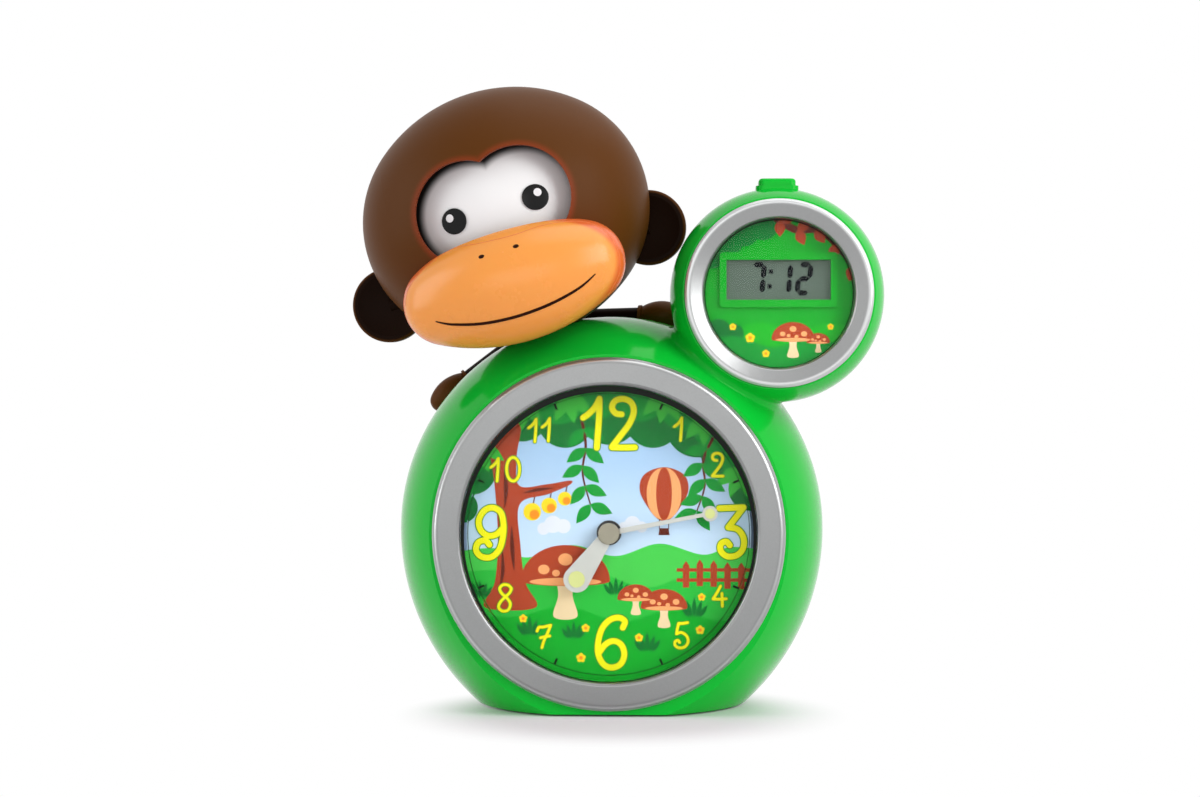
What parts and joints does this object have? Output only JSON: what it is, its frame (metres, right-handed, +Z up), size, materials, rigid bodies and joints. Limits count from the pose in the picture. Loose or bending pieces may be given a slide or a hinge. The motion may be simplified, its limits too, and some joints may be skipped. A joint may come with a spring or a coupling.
{
  "type": "kids alarm clock with night light",
  "caption": "Ball-shaped green kids alarm clock with an analogue dial, a round digital pod and a brown animal head whose glowing eyes close.",
  "frame": {"origin": "on the table, under the centre of the ball-shaped casing", "axes": "+X is the viewer's right, -Y faces the viewer, +Z is up"},
  "size_m": [0.175, 0.1136, 0.2027],
  "materials": {
    "green_abs": "gloss",
    "snooze_green": "gloss",
    "black_rubber": "matt",
    "screw_steel": "satin",
    "satin_silver": "satin silver paint on plastic",
    "clear_lens": "clear polystyrene",
    "printed_dial": "print on plastic sheet",
    "printed_pod_face": "print on plastic",
    "black_nut": "gloss",
    "black_hands": "black paint",
    "luminous_paint": "matt",
    "acetal": "satin",
    "black_abs": "satin",
    "battery_cells": "printed film",
    "contact_steel": "bright",
    "speaker_steel": "satin",
    "speaker_paper": "matt",
    "circuit_board": "solder mask",
    "grey_buttons": "satin",
    "display_glass": "liquid crystal cell",
    "brown_abs": "satin",
    "dark_brown_abs": "satin",
    "orange_abs": "satin",
    "white_abs": "translucent white",
    "black_pupils": "gloss",
    "axle_steel": "bright",
    "motor_steel": "satin"
  },
  "bodies": {
    "casing": {"front_casing": "green_abs", "rear_casing": "green_abs", "anti_slip_pad": "black_rubber", "casing_screws": "screw_steel", "main_bezel": "satin_silver", "pod_bezel": "satin_silver", "main_lens": "clear_lens", "pod_lens": "clear_lens", "dial_plate": "printed_dial", "pod_face_plate": "printed_pod_face", "centre_nut": "black_nut", "stepper_unit": "black_abs", "movement_front_case": "black_abs", "movement_rear_case": "black_abs", "batteries": "battery_cells", "battery_contacts": "contact_steel", "speaker_frame": "speaker_steel", "speaker_cone": "speaker_paper", "control_board": "circuit_board", "lcd_board": "circuit_board", "led_board": "circuit_board", "lcd_glass": "display_glass", "snooze_switch": "black_abs", "snooze_spring": "contact_steel", "head_front_shell": "brown_abs", "head_rear_shell": "brown_abs", "torso": "brown_abs", "left_ear": "dark_brown_abs", "right_ear": "dark_brown_abs", "left_arm": "dark_brown_abs", "right_arm": "dark_brown_abs", "left_hand": "brown_abs", "right_hand": "brown_abs", "muzzle": "orange_abs", "eye_motor": "motor_steel", "eye_bracket": "black_abs"},
    "minute": {"minute_pipe": "acetal", "minute_hand": "black_hands", "minute_hand_lume": "luminous_paint"},
    "hour": {"hour_wheel": "acetal", "hour_hand": "black_hands", "hour_hand_lume": "luminous_paint"},
    "intermediate": {"intermediate_wheel": "acetal", "time_set_knob": "black_abs"},
    "drive": {"drive_pinion": "acetal"},
    "eye_roller": {"eye_shell": "white_abs", "eyelid_shell": "brown_abs", "pupils": "black_pupils", "eye_axle": "axle_steel", "eye_gear": "acetal"},
    "eye_pinion": {"eye_motor_pinion": "acetal"},
    "snooze": {"snooze_button": "snooze_green"},
    "hour_key": {"hour_button": "grey_buttons"},
    "minute_key": {"minute_button": "grey_buttons"},
    "mode_key": {"mode_button": "grey_buttons"},
    "alarm_lever": {"alarm_switch": "grey_buttons"},
    "night_light_lever": {"night_light_switch": "grey_buttons"},
    "cover": {"battery_cover": "green_abs", "battery_cover_screw": "screw_steel"}
  },
  "joints": [
    {"name": "minute_turn", "type": "hinge", "parent": "casing", "child": "minute", "pos_m": [0, 0, 0.0576], "axis": [0, 1, 0], "continuous": true},
    {"name": "hour_turn", "type": "hinge", "parent": "casing", "child": "hour", "pos_m": [0, 0, 0.0576], "axis": [0, 1, 0], "continuous": true},
    {"name": "time_set_turn", "type": "hinge", "parent": "casing", "child": "intermediate", "pos_m": [0, 0, 0.0676], "axis": [0, 1, 0], "continuous": true},
    {"name": "drive_turn", "type": "hinge", "parent": "casing", "child": "drive", "pos_m": [0, 0, 0.0471], "axis": [0, 1, 0], "continuous": true},
    {"name": "eye_close", "type": "hinge", "parent": "casing", "child": "eye_roller", "pos_m": [-0.03445, -0.01007, 0.16057], "axis": [0.9575, -0.0698, 0.28], "range_deg": [0, 68]},
    {"name": "eye_pinion_turn", "type": "hinge", "parent": "casing", "child": "eye_pinion", "pos_m": [-0.03362, 0.0024, 0.16082], "axis": [0.9575, -0.0698, 0.28], "range_deg": [-272, 0]},
    {"name": "snooze_press", "type": "slide", "parent": "casing", "child": "snooze", "axis": [0, 0, -1], "range_m": [0, 0.0015], "stiffness_N_per_m": 500, "springref_m": -0.001, "deforming": ["snooze_spring"]},
    {"name": "hour_press", "type": "slide", "parent": "casing", "child": "hour_key", "axis": [0, -1, 0], "range_m": [0, 0.001], "stiffness_N_per_m": 1200, "springref_m": -0.0003},
    {"name": "minute_press", "type": "slide", "parent": "casing", "child": "minute_key", "axis": [0, -1, 0], "range_m": [0, 0.001], "stiffness_N_per_m": 1200, "springref_m": -0.0003},
    {"name": "mode_press", "type": "slide", "parent": "casing", "child": "mode_key", "axis": [0, -1, 0], "range_m": [0, 0.001], "stiffness_N_per_m": 1200, "springref_m": -0.0003},
    {"name": "alarm_slide", "type": "slide", "parent": "casing", "child": "alarm_lever", "axis": [1, 0, 0], "range_m": [0, 0.004]},
    {"name": "night_light_slide", "type": "slide", "parent": "casing", "child": "night_light_lever", "axis": [1, 0, 0], "range_m": [0, 0.004]},
    {"name": "cover_lift", "type": "slide", "parent": "casing", "child": "cover", "axis": [0, 1, 0], "range_m": [0, 0.03]}
  ],
  "couplings": [
    {"joint": "hour_turn", "follows": "minute_turn", "ratio": 0.083333},
    {"joint": "time_set_turn", "follows": "minute_turn", "ratio": -0.33333},
    {"joint": "drive_turn", "follows": "minute_turn", "ratio": -2.5},
    {"joint": "eye_pinion_turn", "follows": "eye_close", "ratio": -4}
  ]
}
